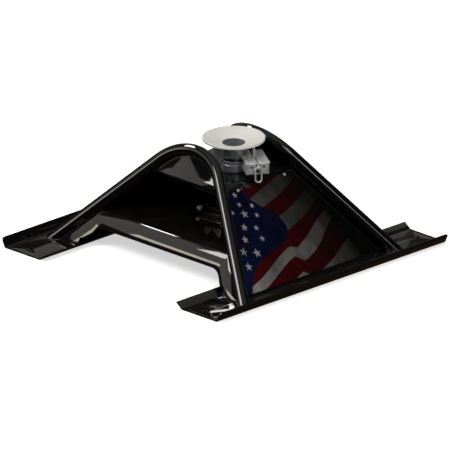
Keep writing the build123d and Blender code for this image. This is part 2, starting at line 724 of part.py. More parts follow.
def rivet(side, x):
    y = rivet_y(side)
    top = HOUSING_TOP_Z
    shank = rod(RIVET_RADIUS, (x, y, top - BRACKET_SHEET - HOUSING_FLOOR), (x, y, top))
    dome = Pos(x, y, top) * Cylinder(
        RIVET_HEAD_RADIUS, RIVET_HEAD_HEIGHT, align=(Align.CENTER, Align.CENTER, Align.MIN)
    )
    dome = fillet(dome.edges().sort_by(Axis.Z)[-1], RIVET_HEAD_HEIGHT * 0.9)
    return head * (shank + dome)


# ---- sliding latch ----------------------------------------------------------------------------
def latch_plate():
    """Crescent that closes round the kingpin's neck, with an arm into the housing."""
    low = LATCH_Z - LATCH_THICK / 2
    high = LATCH_Z + LATCH_THICK / 2
    wide = CRESCENT_HALF_WIDTH
    crescent = block(CRESCENT_BACK, NECK_RADIUS, -wide, wide, low, high)
    crescent &= rod(NECK_RADIUS - WELD_GAP, (0, 0, low), (0, 0, high))
    arm_inner = HOUSING_SIDE - ROD_SPREAD - SPRING_COIL_RADIUS
    arm = block(ARM_BACK, ARM_FRONT, arm_inner, arm_side(), low, high)
    plate = crescent + arm
    plate -= rod(PIN_NECK_RADIUS + PIN_CLEARANCE, (0, 0, low - 1), (0, 0, high + 1))
    for side in (-1, 1):
        y = HOUSING_SIDE + side * ROD_SPREAD
        plate -= rod(ROD_RADIUS, (ARM_FRONT - ROD_SEAT, y, LATCH_Z), (ARM_FRONT + 1, y, LATCH_Z))
    half = PULL_BAR_THICK / 2
    plate -= block(bar_back(), ARM_FRONT + 1, HOUSING_SIDE - half, HOUSING_SIDE + half, low - 1, high + 1)
    return head * plate


def bar_back():
    return ARM_FRONT - BAR_SEAT


def latch_rod(side):
    y = HOUSING_SIDE + side * ROD_SPREAD
    end = housing_front - BRACKET_SHEET / 2
    bar = rod(ROD_RADIUS, (ARM_FRONT - ROD_SEAT, y, LATCH_Z), (end, y, LATCH_Z))
    return head * chamfer(bar.faces().sort_by(Axis.X)[-1].edges(), 1.0)


def latch_spring(side):
    """Compression spring on a latch rod, between the arm and the front flange."""
    y = HOUSING_SIDE + side * ROD_SPREAD
    start = ARM_FRONT + SPRING_WIRE / 2 + 0.3
    end = housing_front - BRACKET_SHEET - SPRING_WIRE / 2 - 0.3
    coil_radius = SPRING_COIL_RADIUS - SPRING_WIRE / 2
    length = end - start
    helix = Helix(length / SPRING_TURNS, length, coil_radius, center=(0, 0, 0), direction=(0, 0, 1))
    section = Plane(origin=helix @ 0, z_dir=helix % 0) * Circle(SPRING_WIRE / 2)
    wire = sweep(section, path=helix, is_frenet=True)
    return head * Pos(start, y, LATCH_Z) * Rot(0, 90, 0) * wire


def pull_bar():
    """Flat bar on edge in the slot between the brackets, with an upright finger tab."""
    low = PULL_BAR_TOP_Z - PULL_BAR_HEIGHT
    high = PULL_BAR_TOP_Z
    half = PULL_BAR_THICK / 2
    back = bar_back()
    tab_end = PULL_TAB_BACK + PULL_TAB_LENGTH
    outline = [
        (back, LATCH_Z - LATCH_THICK / 2),
        (ARM_FRONT + 6, LATCH_Z - LATCH_THICK / 2),
        (ARM_FRONT + 6, low),
        (pull_bar_end, low),
        (pull_bar_end, high),
        (tab_end, high),
        (tab_end, PULL_TAB_TOP_Z),
        (PULL_TAB_BACK, PULL_TAB_TOP_Z),
        (PULL_TAB_BACK, high),
        (back, high),
    ]
    face = make_face(Polyline(*outline, close=True))
    ends = face.vertices().filter_by(lambda v: v.X > pull_bar_end - 1 or v.Y > PULL_TAB_TOP_Z - 1)
    face = fillet(ends, 5.0)
    face -= Pos(ring_pivot_x, RING_PIVOT_Z) * Circle(RING_HOLE_RADIUS)
    bar = extrude(Plane.XZ * face, amount=half, both=True)
    return head * Pos(0, HOUSING_SIDE, 0) * bar


def pull_ring():
    """Oval wire ring hanging from the hole in the pull bar."""
    radius = RING_WIDE / 2 - RING_WIRE_RADIUS
    straight = RING_LONG - RING_WIDE
    middle = Pos(ring_pivot_x, HOUSING_SIDE, RING_PIVOT_Z)
    top = Edge.make_circle(radius, Plane.YZ.offset(0), 0, 180)
    low_end = Edge.make_circle(radius, Plane.YZ.offset(0), 180, 360)
    top = top.moved(Pos(0, 0, -radius))
    low_end = low_end.moved(Pos(0, 0, -radius - straight))
    sides = [
        Edge.make_line((0, y, -radius), (0, y, -radius - straight)) for y in (-radius, radius)
    ]
    path = Wire([top, sides[0], low_end, sides[1]])
    start = path @ 0
    ring = sweep(Plane(origin=start, z_dir=path % 0) * Circle(RING_WIRE_RADIUS), path=path)
    return head * middle * ring


# ---- write every piece ------------------------------------------------------------------------
def main():
    os.makedirs("parts", exist_ok=True)
    rail = bed_rail()
    rear = panel()
    write("rear_rail", rail)
    write("front_rail", mirrored_y(rail))
    write("left_hoop", left_hoop)
    write("right_hoop", mirrored_x(left_hoop))
    bolts = edge_bolt_places()
    rear_bolts = [edge_bolt(place) for place in bolts]
    holes = [place * Cylinder(SMALL_BOLT_OD / 2, 60) for place in bolts]
    film = graphic_film()
    deck_plate = deck()
    rib = deck_rib()
    for hole in holes:
        film -= hole
        rear -= hole
        deck_plate -= hole + mirrored_y(hole)
        rib -= hole + mirrored_y(hole)
    write("rear_panel", rear)
    write("front_panel", mirrored_y(rear))
    write("deck_plate", deck_plate)
    write("cross_tray", tray())
    arch = arch_plate()
    write("left_arch_plate", arch)
    write("right_arch_plate", mirrored_x(arch))
    write("graphic_film", film)
    write("deck_edge_bolts", rear_bolts + [mirrored_y(item) for item in rear_bolts])
    nuts = [edge_nut(place) for place in bolts]
    write("deck_edge_nuts", nuts + [mirrored_y(item) for item in nuts])
    write("centre_post", post())
    write("post_base_plate", post_base())
    web = post_web()
    write("right_deck_rib", rib)
    write("left_deck_rib", mirrored_x(rib))
    write("right_post_web", web)
    write("left_post_web", mirrored_x(web))
    write("ball_socket", ball_socket())
    write("clamp_screws", [clamp_screw(side) for side in (-1, 1)])
    write("clamp_screw_locknuts", [clamp_nut(side) for side in (-1, 1)])
    write("socket_bolts", [socket_bolt(place) for place in socket_bolt_places()])
    write("socket_nuts", [socket_nut(place) for place in socket_bolt_places()])
    write("coupler_base", coupler_base())
    write("coupler_neck", coupler_neck())
    write("coupler_screws", [coupler_screw(place) for place in coupler_bolt_places()])
    write("seat_liner", seat_liner())
    write("guide_funnel", funnel())
    write("grease_fitting", grease_fitting())
    write("inner_latch_bracket", bracket(-1))
    write("outer_latch_bracket", bracket(1))
    write("inner_guide_bar", guide_bar(-1))
    write("outer_guide_bar", guide_bar(1))
    write("latch_housing_floor", housing_floor())
    write("bracket_rivets", [rivet(side, x) for side in (-1, 1) for x in RIVET_STATIONS])
    write("latch_plate", latch_plate())
    write("inner_latch_rod", latch_rod(-1))
    write("outer_latch_rod", latch_rod(1))
    write("inner_latch_spring", latch_spring(-1))
    write("outer_latch_spring", latch_spring(1))
    write("pull_bar", pull_bar())
    write("pull_ring", pull_ring())


main()
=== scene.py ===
import json
import math

import bmesh
import bpy
from mathutils import Matrix, Vector


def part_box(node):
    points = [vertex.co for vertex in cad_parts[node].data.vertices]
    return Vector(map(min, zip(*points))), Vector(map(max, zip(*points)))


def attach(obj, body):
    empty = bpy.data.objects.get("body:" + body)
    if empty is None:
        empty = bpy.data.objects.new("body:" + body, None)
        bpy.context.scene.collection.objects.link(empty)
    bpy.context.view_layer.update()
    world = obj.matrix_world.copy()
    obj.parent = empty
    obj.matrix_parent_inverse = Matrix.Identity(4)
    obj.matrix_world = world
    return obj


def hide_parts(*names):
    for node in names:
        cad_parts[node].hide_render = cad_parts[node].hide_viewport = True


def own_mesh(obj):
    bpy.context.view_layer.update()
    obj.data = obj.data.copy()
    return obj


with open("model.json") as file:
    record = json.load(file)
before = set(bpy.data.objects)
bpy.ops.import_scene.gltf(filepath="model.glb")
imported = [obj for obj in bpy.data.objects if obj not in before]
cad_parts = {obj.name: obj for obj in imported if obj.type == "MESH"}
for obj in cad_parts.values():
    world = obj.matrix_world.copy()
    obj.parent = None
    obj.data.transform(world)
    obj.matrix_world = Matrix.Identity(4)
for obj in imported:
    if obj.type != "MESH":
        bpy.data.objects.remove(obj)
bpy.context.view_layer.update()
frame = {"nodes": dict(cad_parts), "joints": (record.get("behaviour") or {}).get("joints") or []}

bl_info = {
    "name": "Pyramid Fifth Wheel Hitch",
    "version": (1, 0, 0),
    "blender": (4, 5, 0),
    "location": "View3D > Sidebar > Hitch",
    "description": "Finishes, fasteners, springs, weld beads and graphic for a pyramid fifth wheel hitch",
    "category": "Object",
}

MM = 0.001


def linear(hex_colour):
    """sRGB hex to a linear colour."""
    channels = [int(hex_colour[i:i + 2], 16) / 255 for i in (1, 3, 5)]
    return tuple(c / 12.92 if c <= 0.04045 else ((c + 0.055) / 1.055) ** 2.4 for c in channels)


def rgba(colour):
    return (*colour, 1.0)


# ---- settings -----------------------------------------------------------------------------------
def colour_setting(name, description, hex_colour):
    return bpy.props.FloatVectorProperty(
        name=name, description=description, subtype="COLOR", size=3, min=0, max=1, default=linear(hex_colour)
    )


def length_setting(name, description, millimetres):
    return bpy.props.FloatProperty(
        name=name, description=description, subtype="DISTANCE", unit="LENGTH", min=0, default=millimetres * MM
    )


class HitchFinishes(bpy.types.PropertyGroup):
    """Colours of the hitch's finishes."""

    frame_black: colour_setting("Frame black", "Gloss powder coat on rails, hoops and sheet", "#060607")
    # Level-face colour: partly a settled dusting, partly painted sheen of the grey that level black sheet
    # mirrors.
    dust_and_sheen_colour: colour_setting("Dust", "Faint dust lying on level black surfaces", "#4a4238")
    funnel_white: colour_setting("Funnel", "Powder coat on the guide funnel", "#d9d8d2")
    zinc: colour_setting("Zinc", "Clear zinc plate on brackets and fasteners", "#dddcd6")
    turned_steel: colour_setting("Coupler", "Plated turned steel of the coupler", "#b7bbb9")
    flag_red: colour_setting("Graphic red", "Red stripes of the film", "#4c0309")
    flag_blue: colour_setting("Graphic blue", "Blue field of the film", "#0d1238")
    flag_pale: colour_setting("Graphic pale", "Pale stripes and stars of the film", "#8b8986")


class HitchSizes(bpy.types.PropertyGroup):
    """Sizes of the details that the frame doesn't give."""

    edge_radius: length_setting("Edge radius", "Rounding of sheared sheet edges", 1.0)
    bead_radius: length_setting("Weld bead", "Half the width of a fillet weld bead", 3.0)
    bead_pitch: length_setting("Weld ripple", "Distance from one weld ripple to the next", 2.4)
    spring_wire: length_setting("Spring wire", "Diameter of the latch springs' wire", 1.7)
    spring_turns: bpy.props.FloatProperty(
        name="Spring turns", description="Turns of each latch spring", min=2, max=30, default=10
    )
    film_corner: length_setting("Film corner", "Rounding of the graphic film's lower corners", 20.0)
    star_thickness: length_setting("Star ink", "How far the printed stars stand up", 0.12)


# ---- node and mesh helpers ------------------------------------------------------------------------
def node(tree, kind, inputs=None, **settings):
    """Adds a node with its settings; inputs maps a socket to a value or to a socket that feeds it."""
    made = tree.nodes.new(kind)
    for name, value in settings.items():
        setattr(made, name, value)
    for key, value in (inputs or {}).items():
        if isinstance(value, bpy.types.NodeSocket):
            tree.links.new(value, made.inputs[key])
        else:
            made.inputs[key].default_value = value
    return made


def new_material(name):
    """An empty node material with its Principled shader and object coordinates."""
    material = bpy.data.materials.new(name)
    material.use_nodes = True
    tree = material.node_tree
    tree.nodes.clear()
    shader = node(tree, "ShaderNodeBsdfPrincipled")
    node(tree, "ShaderNodeOutputMaterial", {"Surface": shader.outputs["BSDF"]})
    coords = node(tree, "ShaderNodeTexCoord").outputs["Object"]
    return material, tree, shader, coords


def noise_at(tree, coords, feature, detail=3.0):
    """Noise whose features are about that many metres across."""
    values = {"Vector": coords, "Scale": 1 / feature, "Detail": detail}
    return node(tree, "ShaderNodeTexNoise", values).outputs["Fac"]


def remap(tree, value, low, high, to_low, to_high, smooth=False):
    mode = "SMOOTHSTEP" if smooth else "LINEAR"
    values = {"Value": value, "From Min": low, "From Max": high, "To Min": to_low, "To Max": to_high}
    return node(tree, "ShaderNodeMapRange", values, interpolation_type=mode).outputs["Result"]


def math_node(tree, operation, first, second=0.0):
    return node(tree, "ShaderNodeMath", {0: first, 1: second}, operation=operation).outputs["Value"]


def mix_colour(tree, factor, first, second, blend="MIX"):
    made = node(tree, "ShaderNodeMix", {0: factor, 6: first, 7: second}, data_type="RGBA", blend_type=blend)
    return made.outputs[2]


def bump(tree, shader, height, distance, strength=1.0):
    made = node(tree, "ShaderNodeBump", {"Height": height, "Distance": distance, "Strength": strength})
    tree.links.new(made.outputs["Normal"], shader.inputs["Normal"])


def gloss_powder_coat(name, colour, dust_and_sheen):
    """Polyester powder coat, sprayed and baked: deep gloss with a slight orange peel, and on level faces a
    brownish grey that is partly a settled dusting and partly painted sheen.
    """
    material, tree, shader, coords = new_material(name)
    peel = noise_at(tree, coords, 7 * MM, 1.0)
    cloud = noise_at(tree, coords, 90 * MM, 4.0)
    grain = noise_at(tree, coords, 4 * MM, 2.0)
    normal = node(tree, "ShaderNodeNewGeometry").outputs["Normal"]
    upward = node(tree, "ShaderNodeSeparateXYZ", {0: normal}).outputs["Z"]
    # Level faces are mixed towards a brownish grey: partly a settled dusting, partly painted sheen of the
    # grey that level sheet mirrors.
    level = remap(tree, upward, 0.75, 1.0, 0.0, 0.22)
    patches = math_node(tree, "MULTIPLY", level, remap(tree, cloud, 0.4, 0.75, 0.1, 0.7))
    specks = math_node(tree, "MULTIPLY", patches, remap(tree, grain, 0.4, 0.8, 0.5, 1.3))
    base = mix_colour(tree, specks, rgba(colour), rgba(dust_and_sheen))
    tree.links.new(base, shader.inputs["Base Color"])
    rough_from_dust_and_sheen = math_node(tree, "MULTIPLY", specks, 0.3)
    rough = math_node(tree, "ADD", remap(tree, cloud, 0.3, 0.75, 0.03, 0.07), rough_from_dust_and_sheen)
    tree.links.new(rough, shader.inputs["Roughness"])
    shader.inputs["IOR"].default_value = 1.5
    bump(tree, shader, peel, 0.03 * MM)
    return material


def satin_powder_coat(name, colour):
    """White polyester powder coat on pressed steel: satin, with orange peel and rub marks."""
    material, tree, shader, coords = new_material(name)
    cloud = noise_at(tree, coords, 55 * MM, 5.0)
    rubs = noise_at(tree, coords, 9 * MM, 4.0)
    worn = remap(tree, rubs, 0.62, 0.74, 0.0, 0.35)
    base = mix_colour(tree, remap(tree, cloud, 0.3, 0.8, 0.0, 0.3), rgba(colour), rgba(linear("#b4b2a6")))
    base = mix_colour(tree, math_node(tree, "MULTIPLY", worn, remap(tree, cloud, 0.5, 0.7, 0.0, 1.0)), base,
                      rgba(linear("#8d8a80")))
    tree.links.new(base, shader.inputs["Base Color"])
    tree.links.new(remap(tree, rubs, 0.3, 0.8, 0.32, 0.5), shader.inputs["Roughness"])
    shader.inputs["IOR"].default_value = 1.5
    bump(tree, shader, noise_at(tree, coords, 5 * MM, 1.0), 0.06 * MM)
    return material


def zinc_plate(name, colour, roughness, tint=0.5):
    """Clear zinc plate on steel: light grey metal with faint blue and straw tints and rolling marks."""
    material, tree, shader, coords = new_material(name)
    cloud = noise_at(tree, coords, 28 * MM, 3.0)
    speckle = noise_at(tree, coords, 2.5 * MM, 3.0)
    blue = mix_colour(tree, remap(tree, cloud, 0.42, 0.62, 0.0, tint), rgba(colour), rgba(linear("#9db4c6")))
    straw = mix_colour(tree, remap(tree, cloud, 0.5, 0.3, 0.0, tint * 0.7), blue, rgba(linear("#b3a98a")))
    base = mix_colour(tree, remap(tree, speckle, 0.4, 0.75, 0.0, 0.35), straw, rgba(linear("#6f706d")))
    tree.links.new(base, shader.inputs["Base Color"])
    shader.inputs["Metallic"].default_value = 0.6
    rough = remap(tree, speckle, 0.3, 0.8, roughness * 0.8, roughness * 1.35)
    tree.links.new(rough, shader.inputs["Roughness"])
    bump(tree, shader, speckle, 0.05 * MM)
    return material


def turned_steel(name, colour, middle, roughness):
    """Steel turned on a lathe, then plated: tool marks round a vertical axis, with bluish patches."""
    material, tree, shader, coords = new_material(name)
    centred = {"Vector": coords, "Location": (-middle.x, -middle.y, 0)}
    local = node(tree, "ShaderNodeMapping", centred).outputs[0]
    parts = node(tree, "ShaderNodeSeparateXYZ", {0: local})
    across = math_node(tree, "MULTIPLY", parts.outputs["X"], parts.outputs["X"])
    along = math_node(tree, "MULTIPLY", parts.outputs["Y"], parts.outputs["Y"])
    radius = math_node(tree, "SQRT", math_node(tree, "ADD", across, along))
    # Feed marks are about 0.3 mm apart on the real part, drawn at 1.6 mm so that they show.
    ring_place = node(tree, "ShaderNodeCombineXYZ", {"X": radius, "Z": parts.outputs["Z"]}).outputs[0]
    rings = node(tree, "ShaderNodeTexNoise", {"Vector": ring_place, "Scale": 1 / (1.6 * MM), "Detail": 1.0})
    cloud = noise_at(tree, coords, 30 * MM, 3.0)
    tinted = mix_colour(tree, remap(tree, cloud, 0.4, 0.65, 0.0, 0.55), rgba(colour), rgba(linear("#9fb7c4")))
    marks = remap(tree, rings.outputs["Fac"], 0.35, 0.7, 0.0, 0.35)
    base = mix_colour(tree, marks, tinted, rgba(linear("#7c807d")))
    tree.links.new(base, shader.inputs["Base Color"])
    shader.inputs["Metallic"].default_value = 0.72
    rough = remap(tree, rings.outputs["Fac"], 0.3, 0.75, roughness * 0.75, roughness * 1.4)
    tree.links.new(rough, shader.inputs["Roughness"])
    bump(tree, shader, rings.outputs["Fac"], 0.06 * MM)
    return material


def plain_metal(name, hex_colour, roughness, grain):
    """Machined metal with a fine even grain and slight handling marks."""
    material, tree, shader, coords = new_material(name)
    marks = noise_at(tree, coords, grain, 4.0)
    colour = linear(hex_colour)
    darker = tuple(c * 0.55 for c in colour)
    base = mix_colour(tree, remap(tree, marks, 0.35, 0.75, 0.0, 0.6), rgba(colour), rgba(darker))
    tree.links.new(base, shader.inputs["Base Color"])
    shader.inputs["Metallic"].default_value = 1.0
    tree.links.new(remap(tree, marks, 0.3, 0.8, roughness * 0.8, roughness * 1.4), shader.inputs["Roughness"])
    bump(tree, shader, marks, 0.04 * MM)
    return material


def ramp(tree, value, stops):
    """Colour ramp with soft steps: stops are (position, colour)."""
    made = node(tree, "ShaderNodeValToRGB", {"Fac": value})
    elements = made.color_ramp.elements
    while len(elements) > 1:
        elements.remove(elements[-1])
    elements[0].position = stops[0][0]
    elements[0].color = stops[0][1]
    for position, colour in stops[1:]:
        elements.new(position).color = colour
    return made.outputs["Color"]


# The graphic is laid out in mm: across from the middle, and up the panel's slope from the bed.
FILM_LENGTH = 450.0
STRIPE_TILT = 0.36
WAVE_TURN = 0.021            # radians per mm across
WAVE_HEIGHT = 5.0
FOLD_RISE = 38.0
BLUE_SPAN = 700.0
CLOTH_ACROSS = 0.011         # cloth folds are drawn out along the slope
CLOTH_UP = 0.005
# Painted light on the graphic: (place across plus a fifth of the place up, level), bright at the lower left
# and falling off to black towards the right and top.
PAINTED_LIGHT_FALLOFF = ((-310, 1.0), (-210, 0.6), (-120, 0.36), (30, 0.3), (140, 0.14), (255, 0.0))
STRIPE_EDGES = (45, 110, 150, 200, 259, 322, 378, 427)
BLUE_EDGE = (
    (0, -316), (15, -308), (95, -236), (129, -172), (149, -98), (182, -15), (275, -15), (304, -45),
    (349, -83), (405, -114), (431, -176), (450, -190),
)


def printed_film(name, red, blue, pale, slope):
    """Printed vinyl under gloss laminate: a waving striped field with a blue corner, darkened by painted
    shade away from the lower left corner until it is black at the right.
    """
    material, tree, shader, coords = new_material(name)
    parts = node(tree, "ShaderNodeSeparateXYZ", {0: coords})
    across = math_node(tree, "MULTIPLY", parts.outputs["X"], 1 / MM)
    up = math_node(tree, "MULTIPLY", parts.outputs["Z"], slope / MM)
    wave = math_node(tree, "SINE", math_node(tree, "MULTIPLY", across, WAVE_TURN))
    sway = math_node(tree, "MULTIPLY", wave, WAVE_HEIGHT)
    fold = remap(tree, across, -45.0, 0.0, 0.0, FOLD_RISE, smooth=True)
    fold = math_node(tree, "MULTIPLY", fold, remap(tree, up, 60.0, 210.0, 1.0, 0.0, smooth=True))
    tilt = math_node(tree, "SUBTRACT", up, math_node(tree, "MULTIPLY", across, STRIPE_TILT))
    lane = math_node(tree, "ADD", math_node(tree, "ADD", tilt, sway), fold)
    lane = math_node(tree, "DIVIDE", lane, FILM_LENGTH)
    grey = tuple(c * 0.42 for c in pale)
    bands = (pale, red, pale, red, grey, red, grey, red, grey)
    soft = 1.2 / FILM_LENGTH
    stops = [(0.0, rgba(bands[0]))]
    for edge, before, after in zip(STRIPE_EDGES, bands, bands[1:]):
        stops += [(edge / FILM_LENGTH - soft, rgba(before)), (edge / FILM_LENGTH + soft, rgba(after))]
    stripes = ramp(tree, lane, stops)
    edge = node(tree, "ShaderNodeFloatCurve", {"Value": math_node(tree, "DIVIDE", up, FILM_LENGTH)})
    curve = edge.mapping.curves[0]
    points = [(s / FILM_LENGTH, 0.5 + u / BLUE_SPAN) for s, u in BLUE_EDGE]
    curve.points[0].location = points[0]
    curve.points[1].location = points[-1]
    for point in points[1:-1]:
        curve.points.new(*point)
    edge.mapping.update()
    offset = math_node(tree, "SUBTRACT", edge.outputs["Value"], 0.5)
    border = math_node(tree, "MULTIPLY", offset, BLUE_SPAN)
    inside = remap(tree, math_node(tree, "SUBTRACT", border, across), -1.5, 1.5, 0.0, 1.0)
    print_colour = mix_colour(tree, inside, stripes, rgba(blue))
    # Soft folds of the waving cloth, about 60 mm apart across and 125 mm apart up the slope.
    place = node(tree, "ShaderNodeCombineXYZ", {
        "X": math_node(tree, "MULTIPLY", across, CLOTH_ACROSS),
        "Y": math_node(tree, "MULTIPLY", up, CLOTH_UP),
    }).outputs[0]
    cloth = node(tree, "ShaderNodeTexNoise", {"Vector": place, "Scale": 1.6, "Detail": 2.0}).outputs["Fac"]
    shade = remap(tree, cloth, 0.32, 0.68, 0.6, 1.3)
    # Painted shade: the print is multiplied by a light level that falls off away from the lower left corner.
    toward = math_node(tree, "ADD", across, math_node(tree, "MULTIPLY", up, 0.2))
    start = PAINTED_LIGHT_FALLOFF[0][0]
    end = PAINTED_LIGHT_FALLOFF[-1][0]
    stops = [((at - start) / (end - start), (level, level, level, 1.0)) for at, level in PAINTED_LIGHT_FALLOFF]
    painted_light_level = ramp(tree, remap(tree, toward, start, end, 0.0, 1.0), stops)
    light = math_node(tree, "MULTIPLY", shade, node(tree, "ShaderNodeRGBToBW", {0: painted_light_level}).outputs[0])
    grey_light = node(tree, "ShaderNodeCombineColor", {0: light, 1: light, 2: light}).outputs[0]
    base = mix_colour(tree, 1.0, print_colour, grey_light, blend="MULTIPLY")
    tree.links.new(base, shader.inputs["Base Color"])
    ripple = noise_at(tree, coords, 40 * MM, 1.0)
    tree.links.new(remap(tree, ripple, 0.3, 0.7, 0.12, 0.2), shader.inputs["Roughness"])
    shader.inputs["IOR"].default_value = 1.46
    bump(tree, shader, ripple, 0.05 * MM)
    return material


def printed_ink(name, colour):
    """Screen-printed pale ink on the film, slightly mottled."""
    material, tree, shader, coords = new_material(name)
    mottle = noise_at(tree, coords, 30 * MM, 3.0)
    darker = tuple(c * 0.45 for c in colour)
    base = mix_colour(tree, remap(tree, mottle, 0.35, 0.7, 0.0, 0.9), rgba(colour), rgba(darker))
    tree.links.new(base, shader.inputs["Base Color"])
    shader.inputs["Roughness"].default_value = 0.3
    bump(tree, shader, mottle, 0.02 * MM)
    return material


def pale_floor(name):
    """Smooth pale board of a light table: a barely uneven tone and a little light of its own."""
    material, tree, shader, coords = new_material(name)
    tone = noise_at(tree, coords, 0.9, 2.0)
    base = mix_colour(tree, tone, rgba(linear("#f6f6f5")), rgba(linear("#f0f0ee")))
    tree.links.new(base, shader.inputs["Base Color"])
    shader.inputs["Roughness"].default_value = 0.85
    shader.inputs["Specular IOR Level"].default_value = 0.1
    shader.inputs["Emission Color"].default_value = rgba(linear("#ffffff"))
    shader.inputs["Emission Strength"].default_value = 0.6
    return material


def link_object(name, mesh):
    made = bpy.data.objects.new(name, mesh)
    bpy.context.scene.collection.objects.link(made)
    return made


def add_piece(name, mesh, material, body="frame", replaced=()):
    """Makes a finished piece from a mesh that already lies in place."""
    mesh.materials.clear()
    mesh.materials.append(material)
    piece = link_object(name, mesh)
    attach(piece, body)
    if replaced:
        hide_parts(*replaced)
    return piece


def mesh_of(shape, name, smooth=True):
    mesh = bpy.data.meshes.new(name)
    shape.to_mesh(mesh)
    shape.free()
    for polygon in mesh.polygons:
        polygon.use_smooth = smooth
    return mesh


def welded_copy(node_name):
    """A node's mesh with its loose triangles joined, as a bmesh."""
    shape = bmesh.new()
    shape.from_mesh(frame["nodes"][node_name].data)
    bmesh.ops.remove_doubles(shape, verts=shape.verts, dist=0.001 * MM)
    return shape


def islands(node_name):
    """Lists of points, one for each separate solid of a node."""
    shape = welded_copy(node_name)
    left = set(shape.verts)
    groups = []
    while left:
        stack = [left.pop()]
        found = []
        while stack:
            vertex = stack.pop()
            found.append(vertex.co.copy())
            for edge in vertex.link_edges:
                other = edge.other_vert(vertex)
                if other in left:
                    left.remove(other)
                    stack.append(other)
        groups.append(found)
    shape.free()
    return sorted(groups, key=lambda points: (round(points[0].x, 4), round(points[0].y, 4)))


def farthest(node_name, direction):
    """The vertex of a node that lies farthest in a direction."""
    way = Vector(direction)
    points = (v.co for v in frame["nodes"][node_name].data.vertices)
    return max(points, key=lambda point: point.dot(way)).copy()


def soften(node_name, material, body="frame", width=None):
    """Replaces a cut-sheet node by the same shape with rounded edges, so that its edges catch light."""
    shape = welded_copy(node_name)
    bmesh.ops.dissolve_limit(shape, angle_limit=math.radians(0.6), verts=shape.verts, edges=shape.edges)
    sharp = [e for e in shape.edges if len(e.link_faces) == 2 and e.calc_face_angle(0) > math.radians(34)]
    size = width or bpy.context.scene.hitch_sizes.edge_radius
    bmesh.ops.bevel(
        shape, geom=sharp, offset=size, segments=2, profile=0.5, affect="EDGES", clamp_overlap=True
    )
    bmesh.ops.triangulate(shape, faces=[f for f in shape.faces if len(f.verts) > 4])
    mesh = mesh_of(shape, node_name + "_rounded")
    if "custom_normal" in mesh.attributes:
        mesh.attributes.remove(mesh.attributes["custom_normal"])
    mesh.set_sharp_from_angle(angle=math.radians(30))
    return add_piece(node_name + "_rounded", mesh, material, body, (node_name,))


def paint(material, *node_names):
    """Gives carried-over nodes a finish."""
    for name in node_names:
        slots = frame["nodes"][name].data.materials
        for index in range(len(slots)):
            slots[index] = material


def lathe(profile, middle, segments):
    """A closed ring turned from (radius, height) points about a vertical axis."""
    shape = bmesh.new()
    rings = []
    for step in range(segments):
        angle = 2 * math.pi * step / segments
        way = Vector((math.cos(angle), math.sin(angle), 0))
        rings.append([shape.verts.new(middle + way * r + Vector((0, 0, z))) for r, z in profile])
    for step in range(segments):
        here = rings[step]
        after = rings[(step + 1) % segments]
        for i in range(len(profile)):
            j = (i + 1) % len(profile)
            shape.faces.new((here[i], after[i], after[j], here[j]))
    bmesh.ops.recalc_face_normals(shape, faces=shape.faces)
    return shape


# ---- Geometry Nodes helpers -----------------------------------------------------------------------
def node_tree(name, sockets):
    """A geometry tree with named inputs: sockets maps a name to its socket type and default."""
    tree = bpy.data.node_groups.new(name, "GeometryNodeTree")
    tree.interface.new_socket("Geometry", in_out="INPUT", socket_type="NodeSocketGeometry")
    tree.interface.new_socket("Geometry", in_out="OUTPUT", socket_type="NodeSocketGeometry")
    for label, (kind, default) in sockets.items():
        made = tree.interface.new_socket(label, in_out="INPUT", socket_type=kind)
        if default is not None:
            made.default_value = default
    return tree, tree.nodes.new("NodeGroupInput").outputs


def close_tree(tree, geometry, material):
    """Ends a tree with real geometry and its material."""
    real = node(tree, "GeometryNodeRealizeInstances", {"Geometry": geometry})
    painted = node(tree, "GeometryNodeSetMaterial", {"Geometry": real.outputs[0], "Material": material})
    output = tree.nodes.new("NodeGroupOutput")
    tree.links.new(painted.outputs[0], output.inputs[0])


def grown(name, source, tree, values):
    """Runs a geometry tree on a mesh and returns the result as a plain mesh."""
    carrier = link_object(name + "_source", source)
    modifier = carrier.modifiers.new(name, "NODES")
    modifier.node_group = tree
    for item in tree.interface.items_tree:
        if item.in_out == "INPUT" and item.name in values:
            modifier[item.identifier] = values[item.name]
    bpy.context.view_layer.update()
    depsgraph = bpy.context.evaluated_depsgraph_get()
    mesh = bpy.data.meshes.new_from_object(carrier.evaluated_get(depsgraph), depsgraph=depsgraph)
    bpy.data.objects.remove(carrier)
    if not mesh.polygons:
        raise RuntimeError(name + " came out empty")
    return mesh


def path_mesh(name, paths):
    """Edges only: one chain of points for each (points, closed) path."""
    points = []
    edges = []
    for chain, closed in paths:
        first = len(points)
        points += [tuple(point) for point in chain]
        edges += [(first + i, first + i + 1) for i in range(len(chain) - 1)]
        if closed:
            edges.append((len(points) - 1, first))
    mesh = bpy.data.meshes.new(name)
    mesh.from_pydata(points, edges, [])
    return mesh


